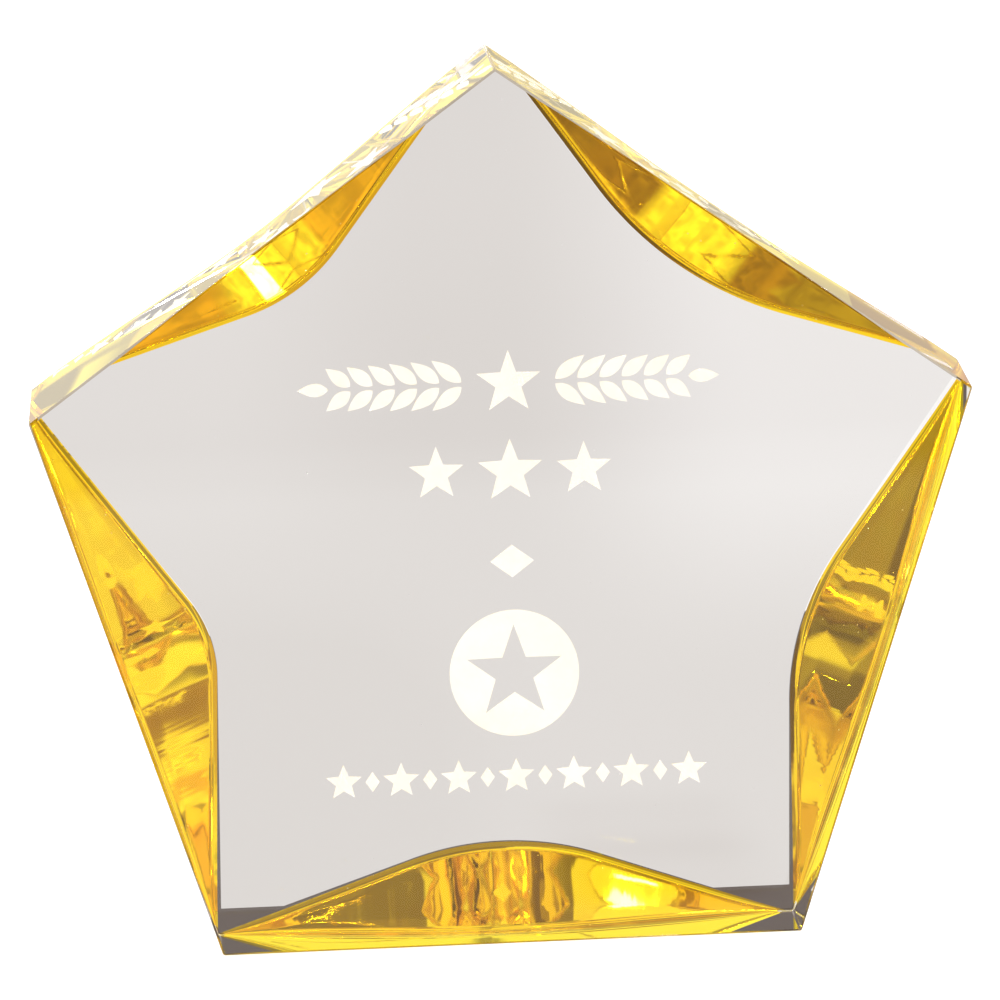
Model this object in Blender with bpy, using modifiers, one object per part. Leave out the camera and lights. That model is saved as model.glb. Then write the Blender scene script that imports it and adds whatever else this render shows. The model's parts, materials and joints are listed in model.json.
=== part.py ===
"""Star trophy: a free-standing plate of clear cast acrylic with a pentagon front,
and five gold-lined scoops ground into its back edges, so that a five-pointed star
of clear plate is left on the back face.

Frame: X to the right, Z up, front face towards -Y. The origin is at the middle of
the plate's thickness, centred left to right, on the plane the plate stands on.
Lengths are in metres.
"""

import math
from collections import namedtuple

import bmesh
import bpy
from mathutils import Matrix, Vector

# ---------------------------------------------------------------- plate
WIDTH = 0.146            # across the left and right points of the pentagon
THICKNESS = 0.01905
EDGE_BREAK = 0.00035     # width of the bevel along the plate's edges
EDGE_BREAK_SEGMENTS = 2
EDGE_BREAK_ANGLE = math.radians(30)   # sharper edges than this are bevelled

SIDE = WIDTH / (2 * math.cos(math.radians(36)))
RADIUS = SIDE / (2 * math.sin(math.radians(36)))
APOTHEM = RADIUS * math.cos(math.radians(36))
BACK_Y = THICKNESS / 2

# The left point is ground away slightly: nothing at the front face, and this far
# along its two edges at the back face, as shares of the side.
RELIEF_ON_TOP_LEFT_EDGE = 0.0216
RELIEF_ON_LEFT_EDGE = 0.050
RELIEF_BOX = 0.05        # side of the cube that cuts it

# ---------------------------------------------------------------- scoops and lining
# Each scoop runs along one edge of the back face. start and end are where it leaves
# the edge and reach is how far it bites into the back face, as shares of the side;
# rise and fall are the slopes of its two flanks, and tilt is the angle in degrees
# between the scoop's straight lines and the back face. Edges run anticlockwise seen
# from the front, from the bottom one.
Scoop = namedtuple("Scoop", "name edge start end rise fall reach tilt")
SCOOPS = (
    #      name        edge  start    end   rise   fall   reach  tilt
    Scoop("bottom",       0, 0.000, 0.984, 0.351, 0.360, 0.1447, 36.0),
    Scoop("right",        1, 0.005, 0.995, 0.329, 0.320, 0.1364, 38.0),
    Scoop("top_right",    2, 0.035, 0.965, 0.333, 0.350, 0.1235, 40.5),
    Scoop("top_left",     3, 0.051, 0.945, 0.316, 0.328, 0.1280, 39.5),
    Scoop("left",         4, -0.030, 0.994, 0.335, 0.354, 0.1630, 33.0),
)
SCOOP_ARC_STEPS = 20     # segments in the rounded middle of a scoop
SCOOP_OVERRUN = 0.006    # how far a section runs out of the plate past the edge
SCOOP_HALF_LENGTH = 0.045
FILM_THICKNESS = 0.0003  # gold lining
FILM_GAP = 0.0003        # clearance between the lining and the ground scoop

# ---------------------------------------------------------------- engraving
# Sunk into the back face. Places are x to the right and z up, seen from the front.
ENGRAVE_DEPTH = 0.0003
ENGRAVING_X = 0.0021     # middle of the engraving

LAUREL_Z = 0.0865
LAUREL_STAR = dict(outer=0.0052, inner=0.0021)
LEAF_PAIRS = 6           # on each branch
LEAF_STEPS = 6           # segments along one side of a leaf
LEAF_WIDTH = 0.0022
LEAF_LENGTH = 0.0058     # of the pair nearest the star
LEAF_SHORTENING = 0.00020   # from one pair to the next
LEAF_START = 0.0073      # from the middle of the star to the first pair
LEAF_PITCH = 0.00345
LEAF_OFFSET = 0.00040    # of a stem end above or below the branch's middle line
LEAF_SPLAY = 38          # degrees from the branch's middle line
END_LEAF = dict(length=0.0048, width=0.0021)
END_LEAF_START = 0.0280

STARS_Z = 0.0724
STARS_PITCH = 0.0115
SIDE_STAR_SIZE = 0.0044
MIDDLE_STAR_SIZE = 0.0052
STAR_INNER_SHARE = 0.42  # inner radius of the three stars, as a share of the outer

JEWEL_Z = 0.0581
JEWEL = dict(half_width=0.0034, half_height=0.0026)

DISC_Z = 0.0402
DISC_RADIUS = 0.0101
DISC_SEGMENTS = 48
DISC_STAR = dict(outer=0.0078, inner=0.0031)

BORDER_Z = 0.0236
BORDER_PITCH = 0.009
BORDER_STAR = dict(outer=0.0029, inner=0.0013)
BORDER_DIAMOND = dict(half_width=0.0011, half_height=0.0016)

# ---------------------------------------------------------------- clean scene
for old in list(bpy.data.objects):
    bpy.data.objects.remove(old, do_unlink=True)


def new_collection(name, parent):
    made = bpy.data.collections.new(name)
    parent.children.link(made)
    return made


PARTS = new_collection("star_trophy", bpy.context.scene.collection)
HELPERS = new_collection("cutters", bpy.context.scene.collection)
ENGRAVING = new_collection("engraving_cutters", HELPERS)


# ---------------------------------------------------------------- materials
def material(name, color, roughness, metallic, transmission, ior):
    made = bpy.data.materials.new(name)
    made.use_nodes = True
    inputs = made.node_tree.nodes["Principled BSDF"].inputs
    inputs["Base Color"].default_value = (*color, 1.0)
    inputs["Roughness"].default_value = roughness
    inputs["Metallic"].default_value = metallic
    inputs["Transmission Weight"].default_value = transmission
    inputs["IOR"].default_value = ior
    made.diffuse_color = (*color, 1.0)
    return made


def clear_acrylic():
    return material(
        "clear_acrylic", color=(0.93, 0.92, 0.91), roughness=0.02, metallic=0.0,
        transmission=1.0, ior=1.49,
    )


def gold_film():
    return material(
        "gold_film", color=(1.0, 0.70, 0.06), roughness=0.12, metallic=1.0,
        transmission=0.0, ior=1.5,
    )


# ---------------------------------------------------------------- general helpers
def make_object(name, data, collection, matrix=None):
    obj = bpy.data.objects.new(name, data)
    collection.objects.link(obj)
    if matrix is not None:
        obj.matrix_world = matrix
    return obj


def mesh_from(bm, name):
    mesh = bpy.data.meshes.new(name)
    bm.to_mesh(mesh)
    bm.free()
    return mesh


def as_helper(obj):
    obj.hide_render = True
    obj.display_type = "WIRE"
    return obj


def boolean(target, operation, cutter):
    made = target.modifiers.new(operation.lower() + "_" + cutter.name, "BOOLEAN")
    made.operation = operation
    made.solver = "EXACT"
    made.object = cutter


def prism(name, outline, half_length, matrix, collection):
    """A flat outline extruded both ways, made a mesh with its caps welded."""
    curve = bpy.data.curves.new(name, "CURVE")
    curve.dimensions = "2D"
    curve.fill_mode = "BOTH"
    curve.extrude = half_length
    spline = curve.splines.new("POLY")
    spline.points.add(len(outline) - 1)
    for point, (x, y) in zip(spline.points, outline):
        point.co = (x, y, 0.0, 1.0)
    spline.use_cyclic_u = True
    guide = make_object(name + "_curve", curve, collection, matrix)
    bpy.context.view_layer.update()
    graph = bpy.context.evaluated_depsgraph_get()
    mesh = bpy.data.meshes.new_from_object(guide.evaluated_get(graph))
    bm = bmesh.new()
    bm.from_mesh(mesh)
    bmesh.ops.remove_doubles(bm, verts=bm.verts, dist=1e-6)
    bmesh.ops.recalc_face_normals(bm, faces=bm.faces)
    bm.to_mesh(mesh)
    bm.free()
    mesh.name = name
    made = make_object(name, mesh, collection, guide.matrix_world.copy())
    bpy.data.objects.remove(guide, do_unlink=True)
    return made


# ---------------------------------------------------------------- pentagon
def plate_corner(index):
    """Corner of the pentagon, anticlockwise seen from the front, from the bottom left."""
    angle = math.radians(-126 + 72 * index)
    return Vector((RADIUS * math.cos(angle), 0.0, APOTHEM + RADIUS * math.sin(angle)))


def edge_axes(index):
    """Corner at the back face, direction along the edge, and direction into the plate."""
    corner = plate_corner(index)
    along = (plate_corner(index + 1) - corner).normalized()
    inward = Vector((-along.z, 0.0, along.x))
    return corner + Vector((0.0, BACK_Y, 0.0)), along, inward


def plate(name, collection):
    """Pentagonal plate, point up, standing on its flat side."""
    bm = bmesh.new()
    bmesh.ops.create_cone(
        bm, cap_ends=True, segments=5, radius1=RADIUS, radius2=RADIUS, depth=THICKNESS
    )

    def rotate(angle, axis):
        matrix = Matrix.Rotation(angle, 3, axis)
        bmesh.ops.rotate(bm, verts=bm.verts, cent=(0, 0, 0), matrix=matrix)

    # Turn the cone's axis from Z to Y, then turn it about Y until a corner points up.
    rotate(math.radians(90), "X")
    bm.verts.ensure_lookup_table()
    first = bm.verts[0].co
    rotate(math.atan2(first.z, first.x) - math.radians(90), "Y")
    bmesh.ops.translate(bm, verts=bm.verts, vec=(0, 0, APOTHEM))
    bmesh.ops.recalc_face_normals(bm, faces=bm.faces)
    return make_object(name, mesh_from(bm, name), collection)


def left_point_relief():
    """Cube with one face on the ground facet of the left point."""
    corner, along_left, _ = edge_axes(4)
    _, along_top_left, _ = edge_axes(3)
    front_point = Vector((corner.x, -BACK_Y, corner.z))
    on_top_left = corner - along_top_left * (RELIEF_ON_TOP_LEFT_EDGE * SIDE)
    on_left = corner + along_left * (RELIEF_ON_LEFT_EDGE * SIDE)
    normal = (on_top_left - front_point).cross(on_left - front_point).normalized()
    if normal.x > 0:  # it has to point out of the plate
        normal.negate()
    bm = bmesh.new()
    bmesh.ops.create_cube(bm, size=RELIEF_BOX)
    bmesh.ops.translate(bm, verts=bm.verts, vec=(0, 0, RELIEF_BOX / 2))
    facing = normal.to_track_quat("Z", "Y").to_matrix().to_4x4()
    name = "left_point_relief"
    matrix = Matrix.Translation(front_point) @ facing
    return as_helper(make_object(name, mesh_from(bm, name), HELPERS, matrix))


# ---------------------------------------------------------------- scoop geometry
def scoop_arc(scoop):
    """The arc that joins the scoop's straight flanks on the back face.

    Points are (along the edge, into the plate), as shares of the side.
    """
    rise_angle = math.atan(scoop.rise)
    fall_angle = math.atan(scoop.fall)
    # The flanks would meet at the peak.
    peak_u = (scoop.fall * scoop.end + scoop.rise * scoop.start) / (scoop.rise + scoop.fall)
    peak_v = scoop.rise * (peak_u - scoop.start)
    # Drop from the peak to the arc's centre, in radii.
    spread = (math.sin(rise_angle) + math.sin(fall_angle)) / math.sin(rise_angle + fall_angle)
    radius = (peak_v - scoop.reach) / (spread - 1.0)
    centre_v = peak_v - radius * spread
    # The centre is one radius away from the rising flank's line.
    centre_u = peak_u + (
        radius + math.cos(rise_angle) * (centre_v - peak_v)
    ) / math.sin(rise_angle)
    points = []
    for step in range(SCOOP_ARC_STEPS + 1):
        turn = rise_angle - (rise_angle + fall_angle) * step / SCOOP_ARC_STEPS
        points.append((centre_u - radius * math.sin(turn), centre_v + radius * math.cos(turn)))
    return points


def scoop_section(scoop, offset=0.0):
    """Section square to the scoop's straight lines, moved away from the plate by offset.

    It runs from outside the edge, up one flank, over the arc and down the other flank.
    """
    lean = math.sin(math.radians(scoop.tilt))
    arc = [Vector((u * SIDE, v * SIDE * lean)) for u, v in scoop_arc(scoop)]
    up = math.atan(scoop.rise * lean)
    down = math.atan(scoop.fall * lean)
    chords = [after - before for before, after in zip(arc, arc[2:])]
    slopes = [up, *(math.atan2(chord.y, chord.x) for chord in chords), -down]
    moved = [
        point + offset * Vector((math.sin(slope), -math.cos(slope)))
        for point, slope in zip(arc, slopes)
    ]
    first, last = moved[0], moved[-1]
    start_x = first.x - (first.y + SCOOP_OVERRUN) / math.tan(up)
    end_x = last.x + (last.y + SCOOP_OVERRUN) / math.tan(down)
    return [Vector((start_x, -SCOOP_OVERRUN)), *moved, Vector((end_x, -SCOOP_OVERRUN))]


def scoop_prism(name, scoop, section, collection):
    """Section swept with X along the edge, Y square to the scoop's lines, Z along them."""
    corner, along, inward = edge_axes(scoop.edge)
    tilt = math.radians(scoop.tilt)
    forward = Vector((0.0, -1.0, 0.0))
    into = math.sin(tilt) * inward + math.cos(tilt) * forward
    lines = -math.cos(tilt) * inward + math.sin(tilt) * forward
    axes = Matrix((along, into, lines)).transposed().to_4x4()
    matrix = Matrix.Translation(corner) @ axes
    return prism(name, section, SCOOP_HALF_LENGTH, matrix, collection)


# ---------------------------------------------------------------- engraved outlines
def placed(points, x, z, angle=0.0):
    """Points turned by angle about their origin, then moved to x, z."""
    c, s = math.cos(angle), math.sin(angle)
    return [(x + (c * px - s * pz), z + (s * px + c * pz)) for px, pz in points]


def mirrored(points):
    """Points mirrored left to right, with their direction of travel kept."""
    return [(-x, z) for x, z in reversed(points)]


def star_points(outer, inner):
    points = []
    for i in range(10):
        radius = outer if i % 2 == 0 else inner
        angle = math.pi * i / 5
        points.append((radius * math.sin(angle), radius * math.cos(angle)))
    return points


def leaf_points(length, width):
    """A laurel leaf from its stem end at the origin along +X."""
    shares = [i / LEAF_STEPS for i in range(1, LEAF_STEPS)]
    upper = [(length * t, width / 2 * math.sin(math.pi * t ** 0.8)) for t in shares]
    lower = [(x, -z) for x, z in upper]
    return [(0.0, 0.0), *lower, (length, 0.0), *upper[::-1]]


def diamond_points(half_width, half_height):
    return [(-half_width, 0.0), (0.0, -half_height), (half_width, 0.0), (0.0, half_height)]


def circle_points(radius, segments):
    angles = [2 * math.pi * i / segments for i in range(segments)]
    return [(radius * math.cos(angle), radius * math.sin(angle)) for angle in angles]


def laurel_branch():
    """Leaves of the right-hand branch, measured from the middle of the laurel star."""
    leaves = []
    for i in range(LEAF_PAIRS):
        leaf = leaf_points(LEAF_LENGTH - LEAF_SHORTENING * i, LEAF_WIDTH)
        for up in (1.0, -1.0):
            splay = math.radians(LEAF_SPLAY * up)
            leaves.append(placed(leaf, LEAF_START + LEAF_PITCH * i, up * LEAF_OFFSET, splay))
    leaves.append(placed(leaf_points(**END_LEAF), END_LEAF_START, 0.0))
    return leaves


# ---------------------------------------------------------------- engraving cutters
def back_face_cutter(name, outline, z, x=0.0, depth=ENGRAVE_DEPTH, collection=ENGRAVING):
    """Cutter through the back face, x from the engraving's middle and z up the plate."""
    back_plane = Matrix.Translation((0.0, BACK_Y, 0.0)) @ Matrix.Rotation(math.radians(90), 4, "X")
    outline = placed(outline, ENGRAVING_X + x, z)
    return as_helper(prism(name, outline, depth, back_plane, collection))


def engrave_laurel():
    """Laurel branches either side of a star."""
    back_face_cutter("laurel_star_00", star_points(**LAUREL_STAR), LAUREL_Z)
    right = laurel_branch()
    left = [mirrored(leaf) for leaf in right]
    for side, leaves in (("right", right), ("left", left)):
        for i, leaf in enumerate(leaves):
            back_face_cutter("laurel_%s_%02d" % (side, i), leaf, LAUREL_Z)


def engrave_three_stars():
    for name, x, size in (
        ("left", -STARS_PITCH, SIDE_STAR_SIZE),
        ("middle", 0.0, MIDDLE_STAR_SIZE),
        ("right", STARS_PITCH, SIDE_STAR_SIZE),
    ):
        outline = star_points(size, size * STAR_INNER_SHARE)
        back_face_cutter("star_%s_00" % name, outline, STARS_Z, x)


def engrave_border():
    """A row of small stars with diamonds between them."""
    star = star_points(**BORDER_STAR)
    for i in range(7):
        back_face_cutter("border_stars_%02d" % i, star, BORDER_Z, BORDER_PITCH * (i - 3))
    diamond = diamond_points(**BORDER_DIAMOND)
    for i in range(6):
        back_face_cutter("border_diamonds_%02d" % i, diamond, BORDER_Z, BORDER_PITCH * (i - 2.5))


def engrave_disc():
    """A disc with a star left standing in it."""
    disc = back_face_cutter("disc", circle_points(DISC_RADIUS, DISC_SEGMENTS), DISC_Z)
    # The star is deeper than the disc, so that it passes right through it.
    star = back_face_cutter(
        "disc_star", star_points(**DISC_STAR), DISC_Z,
        depth=4 * ENGRAVE_DEPTH, collection=HELPERS,
    )
    boolean(disc, "DIFFERENCE", star)


# ---------------------------------------------------------------- finished pieces
def build_plate(relief):
    block = plate("acrylic_star_plate", PARTS)
    block.data.materials.append(clear_acrylic())

    edge_break = block.modifiers.new("edge_break", "BEVEL")
    edge_break.width = EDGE_BREAK
    edge_break.segments = EDGE_BREAK_SEGMENTS
    edge_break.limit_method = "ANGLE"
    edge_break.angle_limit = EDGE_BREAK_ANGLE

    boolean(block, "DIFFERENCE", relief)
    for scoop in SCOOPS:
        cutter = scoop_prism(scoop.name + "_scoop", scoop, scoop_section(scoop), HELPERS)
        boolean(block, "DIFFERENCE", as_helper(cutter))

    engrave_laurel()
    engrave_three_stars()
    back_face_cutter("jewel_00", diamond_points(**JEWEL), JEWEL_Z)
    engrave_border()
    engrave_disc()
    sunk = block.modifiers.new("engraving", "BOOLEAN")
    sunk.operation = "DIFFERENCE"
    sunk.solver = "EXACT"
    sunk.operand_type = "COLLECTION"
    sunk.collection = ENGRAVING


def build_lining(relief):
    """Gold films along the scoops, trimmed to the plate's outer shape."""
    trim = as_helper(plate("lining_trim", HELPERS))
    boolean(trim, "DIFFERENCE", relief)
    gold = gold_film()
    for scoop in SCOOPS:
        near = scoop_section(scoop, FILM_GAP)
        far = scoop_section(scoop, FILM_GAP + FILM_THICKNESS)
        film = scoop_prism("gold_lining_" + scoop.name, scoop, near + far[::-1], PARTS)
        film.data.materials.append(gold)
        boolean(film, "INTERSECT", trim)
        for polygon in film.data.polygons:
            polygon.use_smooth = False


point_relief = left_point_relief()
build_plate(point_relief)
build_lining(point_relief)
bpy.context.view_layer.update()
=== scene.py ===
import json
import math

import bmesh
import bpy
from mathutils import Matrix, Vector

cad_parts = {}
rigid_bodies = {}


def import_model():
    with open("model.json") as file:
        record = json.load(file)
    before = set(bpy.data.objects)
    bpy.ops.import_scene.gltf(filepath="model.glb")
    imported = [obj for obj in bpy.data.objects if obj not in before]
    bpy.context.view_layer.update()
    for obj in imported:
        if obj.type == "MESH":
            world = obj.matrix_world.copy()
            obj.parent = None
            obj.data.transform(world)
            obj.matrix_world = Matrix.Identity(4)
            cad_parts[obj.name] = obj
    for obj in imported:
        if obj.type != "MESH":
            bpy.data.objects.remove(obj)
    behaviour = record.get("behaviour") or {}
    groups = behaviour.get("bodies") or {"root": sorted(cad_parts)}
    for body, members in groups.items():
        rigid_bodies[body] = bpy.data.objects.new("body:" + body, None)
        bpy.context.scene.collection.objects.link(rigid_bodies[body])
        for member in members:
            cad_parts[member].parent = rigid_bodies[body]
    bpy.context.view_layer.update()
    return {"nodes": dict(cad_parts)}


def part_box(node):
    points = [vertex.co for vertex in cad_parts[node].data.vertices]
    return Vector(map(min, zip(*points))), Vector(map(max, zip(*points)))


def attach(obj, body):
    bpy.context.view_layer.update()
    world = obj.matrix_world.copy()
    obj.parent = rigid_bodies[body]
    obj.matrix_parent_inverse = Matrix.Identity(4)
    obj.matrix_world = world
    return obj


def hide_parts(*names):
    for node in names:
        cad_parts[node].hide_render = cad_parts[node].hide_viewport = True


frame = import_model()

# ------------------------------------------------------------------ sizes from the frame
plate_low, plate_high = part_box("acrylic_star_plate")
FRONT, BACK = plate_low.y, plate_high.y
THICKNESS = BACK - FRONT

# The lower right wall of a pentagon of apothem a that stands on z = 0 is a (1 - sin 18)
# from the origin, which gives the apothem from the CAD plate itself.
C18, S18 = math.cos(math.radians(18)), math.sin(math.radians(18))
reach = max(v.co.x * C18 - v.co.z * S18 for v in frame["nodes"]["acrylic_star_plate"].data.vertices)
APOTHEM = reach / (1 - S18)
SIDE = 2 * APOTHEM * math.tan(math.radians(36))
RADIUS = APOTHEM / math.cos(math.radians(36))

EDGE_BREAK = 0.00035
ARC_STEPS = 64
CONTACT = -0.00002       # the gold's inner face sits this far inside the acrylic's scoop
FILM_OUTER = 0.00024     # and its lacquered outer face this far outside it
FILM_SHORT = 0.00004     # the gold stops this far short of the polished walls
ENGRAVE_DEPTH = 0.00025
LIP_BACK = 0.0008        # polishing has rounded the scoops over where they meet the back face
LIP_WALL = 0.0013        # and, more, where they meet the walls

SCOOPS = {
    "bottom": dict(edge=0, start=0.000, end=0.984, rise=0.351, fall=0.360, reach=0.1447, tilt=36.0),
    "right": dict(edge=1, start=0.005, end=0.995, rise=0.329, fall=0.320, reach=0.1364, tilt=38.0),
    "top_right": dict(edge=2, start=0.035, end=0.965, rise=0.333, fall=0.350, reach=0.1235, tilt=40.5),
    "top_left": dict(edge=3, start=0.051, end=0.945, rise=0.316, fall=0.328, reach=0.1280, tilt=39.5),
    "left": dict(edge=4, start=-0.030, end=0.994, rise=0.335, fall=0.354, reach=0.1630, tilt=33.0),
}
LEFT_POINT_RELIEF = (0.0216, 0.050)

scene = bpy.context.scene
work = bpy.data.collections.new("visual_work")
scene.collection.children.link(work)


# ------------------------------------------------------------------ node helpers
class Tree:
    """Short calls for building a node material."""

    def __init__(self, name):
        self.material = bpy.data.materials.new(name)
        self.material.use_nodes = True
        self.tree = self.material.node_tree
        self.tree.nodes.clear()
        self.out = self.node("ShaderNodeOutputMaterial")

    def node(self, kind, **values):
        made = self.tree.nodes.new(kind)
        for key, value in values.items():
            setattr(made, key, value)
        return made

    def link(self, source, target):
        self.tree.links.new(source, target)

    def put(self, value, socket):
        if isinstance(value, bpy.types.NodeSocket):
            self.link(value, socket)
        else:
            socket.default_value = value

    def coords(self):
        return self.node("ShaderNodeTexCoord").outputs["Object"]

    def position(self):
        return self.node("ShaderNodeNewGeometry").outputs["Position"]

    def mapping(self, source, scale=(1, 1, 1), location=(0, 0, 0), rotation=(0, 0, 0)):
        made = self.node("ShaderNodeMapping")
        self.link(source, made.inputs["Vector"])
        made.inputs["Location"].default_value = location
        made.inputs["Rotation"].default_value = rotation
        made.inputs["Scale"].default_value = scale
        return made.outputs["Vector"]

    def noise(self, source, scale, detail=3.0, rough=0.5, distortion=0.0):
        made = self.node("ShaderNodeTexNoise")
        self.link(source, made.inputs["Vector"])
        made.inputs["Scale"].default_value = scale
        made.inputs["Detail"].default_value = detail
        made.inputs["Roughness"].default_value = rough
        made.inputs["Distortion"].default_value = distortion
        return made.outputs["Fac"]

    def voronoi(self, source, scale, feature="F1", output="Distance"):
        made = self.node("ShaderNodeTexVoronoi", feature=feature)
        self.link(source, made.inputs["Vector"])
        made.inputs["Scale"].default_value = scale
        return made.outputs[output]

    def ramp(self, source, stops, interpolation="LINEAR"):
        made = self.node("ShaderNodeValToRGB")
        made.color_ramp.interpolation = interpolation
        elements = made.color_ramp.elements
        while len(elements) > 1:
            elements.remove(elements[-1])
        for i, (place, colour) in enumerate(stops):
            element = elements[0] if i == 0 else elements.new(place)
            element.position = place
            element.color = (*colour, 1.0) if len(colour) == 3 else colour
        self.put(source, made.inputs["Fac"])
        return made.outputs["Color"]

    def math(self, operation, a, b=0.0, c=0.0, clamp=False):
        made = self.node("ShaderNodeMath", operation=operation, use_clamp=clamp)
        for value, socket in zip((a, b, c), made.inputs):
            self.put(value, socket)
        return made.outputs[0]

    def ease(self, value, low, high, out_low=0.0, out_high=1.0):
        made = self.node("ShaderNodeMapRange", interpolation_type="SMOOTHSTEP")
        self.put(value, made.inputs["Value"])
        for key, number in (("From Min", low), ("From Max", high), ("To Min", out_low), ("To Max", out_high)):
            self.put(number, made.inputs[key])
        return made.outputs[0]

    def mix(self, factor, a, b):
        made = self.node("ShaderNodeMix", data_type="RGBA")
        self.put(factor, made.inputs[0])
        for value, socket in ((a, made.inputs[6]), (b, made.inputs[7])):
            self.put((*value, 1.0) if isinstance(value, tuple) and len(value) == 3 else value, socket)
        return made.outputs[2]

    def split(self, source):
        made = self.node("ShaderNodeSeparateXYZ")
        self.link(source, made.inputs[0])
        return made.outputs

    def join(self, x, y, z):
        made = self.node("ShaderNodeCombineXYZ")
        for value, socket in zip((x, y, z), made.inputs):
            self.put(value, socket)
        return made.outputs[0]

    def bump(self, height, strength, distance, normal=None):
        made = self.node("ShaderNodeBump")
        self.put(height, made.inputs["Height"])
        made.inputs["Strength"].default_value = strength
        made.inputs["Distance"].default_value = distance
        if normal is not None:
            self.link(normal, made.inputs["Normal"])
        return made.outputs["Normal"]

    def principled(self, **values):
        made = self.node("ShaderNodeBsdfPrincipled")
        for key, value in values.items():
            socket = made.inputs[key.replace("_", " ")]
            if isinstance(value, tuple) and len(value) == 3:
                value = (*value, 1.0)
            self.put(value, socket)
        return made

    def finish(self, shader):
        self.link(shader, self.out.inputs["Surface"])
        return self.material


# ------------------------------------------------------------------ materials of the object
def clear_acrylic():
    t = Tree("clear_cast_acrylic")
    place = t.coords()
    # Hairline wipe marks, faint and long, and a scatter of fine dust.
    wipe = t.noise(t.mapping(place, scale=(30, 30, 900), rotation=(0, 0.35, 0)), 1.0, 4.0, 0.6)
    wipe = t.ease(wipe, 0.62, 0.80)
    soft = t.noise(place, 60.0, 3.0, 0.5)
    dust = t.voronoi(place, 520.0)
    speck = t.math("MULTIPLY", t.ease(dust, 0.10, 0.04), t.ease(t.noise(place, 210.0, 1.0), 0.60, 0.64))
    rough = t.math("ADD", t.math("MULTIPLY", wipe, 0.035), t.math("MULTIPLY", speck, 0.35))
    rough = t.math("ADD", rough, t.math("MULTIPLY", soft, 0.004))
    # Acrylic cast between glass sheets is very slightly wavy.
    wave = t.noise(place, 22.0, 1.0, 0.4)
    normal = t.bump(wave, 0.20, 0.00004)
    shader = t.principled(
        Base_Color=t.mix(soft, (0.985, 0.982, 0.976), (0.972, 0.968, 0.962)),
        Roughness=rough,
        IOR=1.49,
        Transmission_Weight=1.0,
        Normal=normal,
    )
    return t.finish(shader.outputs[0])


def frosted():
    t = Tree("frosted_engraving")
    place = t.coords()
    grain = t.noise(place, 5200.0, 2.0, 0.6)
    cloud = t.noise(place, 160.0, 4.0, 0.6)
    shader = t.principled(
        Base_Color=t.mix(t.ease(cloud, 0.35, 0.7), (0.95, 0.95, 0.95), (0.90, 0.90, 0.90)),
        Roughness=t.ease(grain, 0.3, 0.7, 0.75, 0.95),
        Normal=t.bump(grain, 0.6, 0.00004),
    )
    return t.finish(shader.outputs[0])


def mirror_gold(name, along, into, seed):
    """Vacuum gold on a ground scoop. along runs with the edge, into down the scoop's straight lines."""
    t = Tree(name)
    place = t.coords()

    def dot(direction):
        made = t.node("ShaderNodeVectorMath", operation="DOT_PRODUCT")
        t.link(place, made.inputs[0])
        made.inputs[1].default_value = direction
        return made.outputs["Value"]

    u, v = dot(along), dot(into)
    # Grinding leaves faint bands that follow the scoop's straight lines.
    lines = t.noise(t.join(t.math("MULTIPLY", u, 420.0), t.math("MULTIPLY", v, 24.0), seed), 1.0, 2.0, 0.5)
    bands = t.noise(t.join(t.math("MULTIPLY", u, 70.0), t.math("MULTIPLY", v, 9.0), seed + 3.0), 1.0, 2.0, 0.5)
    cloud = t.noise(place, 130.0, 3.0, 0.6)
    speck = t.math(
        "MULTIPLY", t.ease(t.voronoi(place, 640.0), 0.11, 0.05), t.ease(t.noise(place, 260.0, 1.0), 0.58, 0.62)
    )
    rough = t.math("ADD", t.ease(lines, 0.40, 0.75, 0.02, 0.06), t.math("MULTIPLY", speck, 0.4))
    colour = t.mix(t.ease(cloud, 0.35, 0.7), (1.0, 0.68, 0.012), (0.985, 0.63, 0.009))
    colour = t.mix(t.math("MULTIPLY", speck, 0.8), colour, (1.0, 0.90, 0.45))
    # Painted reflection colour: where a ray reaches the gold after two or more bounces, the gold is given a yellower
    # colour, so repeated reflections keep their yellow.
    depth = t.node("ShaderNodeLightPath").outputs["Ray Depth"]
    colour = t.mix(t.math("GREATER_THAN", depth, 1.5), colour, (1.0, 0.82, 0.03))
    height = t.math("ADD", t.math("MULTIPLY", lines, 0.4), bands)
    shader = t.principled(
        Base_Color=colour, Metallic=1.0, Roughness=rough, Normal=t.bump(height, 0.22, 0.00012)
    )
    return t.finish(shader.outputs[0])


def shaded_edge():
    """The broken edges, with painted shade: the acrylic and its reflections there are tinted darker and warmer to
    stand in for the dark lines along the edges.
    """
    t = Tree("acrylic_edge_painted_shade")
    place = t.coords()
    streak = t.noise(place, 900.0, 3.0, 0.6)
    cloud = t.noise(place, 90.0, 2.0, 0.5)
    shader = t.principled(
        Base_Color=t.mix(t.ease(cloud, 0.35, 0.65), (0.34, 0.27, 0.18), (0.48, 0.40, 0.29)),
        Roughness=t.ease(streak, 0.35, 0.75, 0.02, 0.12),
        IOR=1.49,
        Transmission_Weight=1.0,
        Specular_Tint=(0.34, 0.29, 0.23),
    )
    return t.finish(shader.outputs[0])


CLEAR = clear_acrylic()
EDGE = shaded_edge()
FROST = frosted()


# ------------------------------------------------------------------ mesh helpers
def new_object(name, mesh, matrix=None):
    made = bpy.data.objects.new(name, mesh)
    work.objects.link(made)
    if matrix is not None:
        made.matrix_world = matrix
    return made


def plate_corner(index, radius=RADIUS):
    angle = math.radians(-126 + 72 * index)
    return Vector((radius * math.cos(angle), 0.0, APOTHEM + radius * math.sin(angle)))


def edge_axes(index):
    a, b = plate_corner(index), plate_corner(index + 1)
    along = (b - a).normalized()
    inward = Vector((-along.z, 0.0, along.x))
    return a + Vector((0.0, BACK, 0.0)), along, inward


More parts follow.
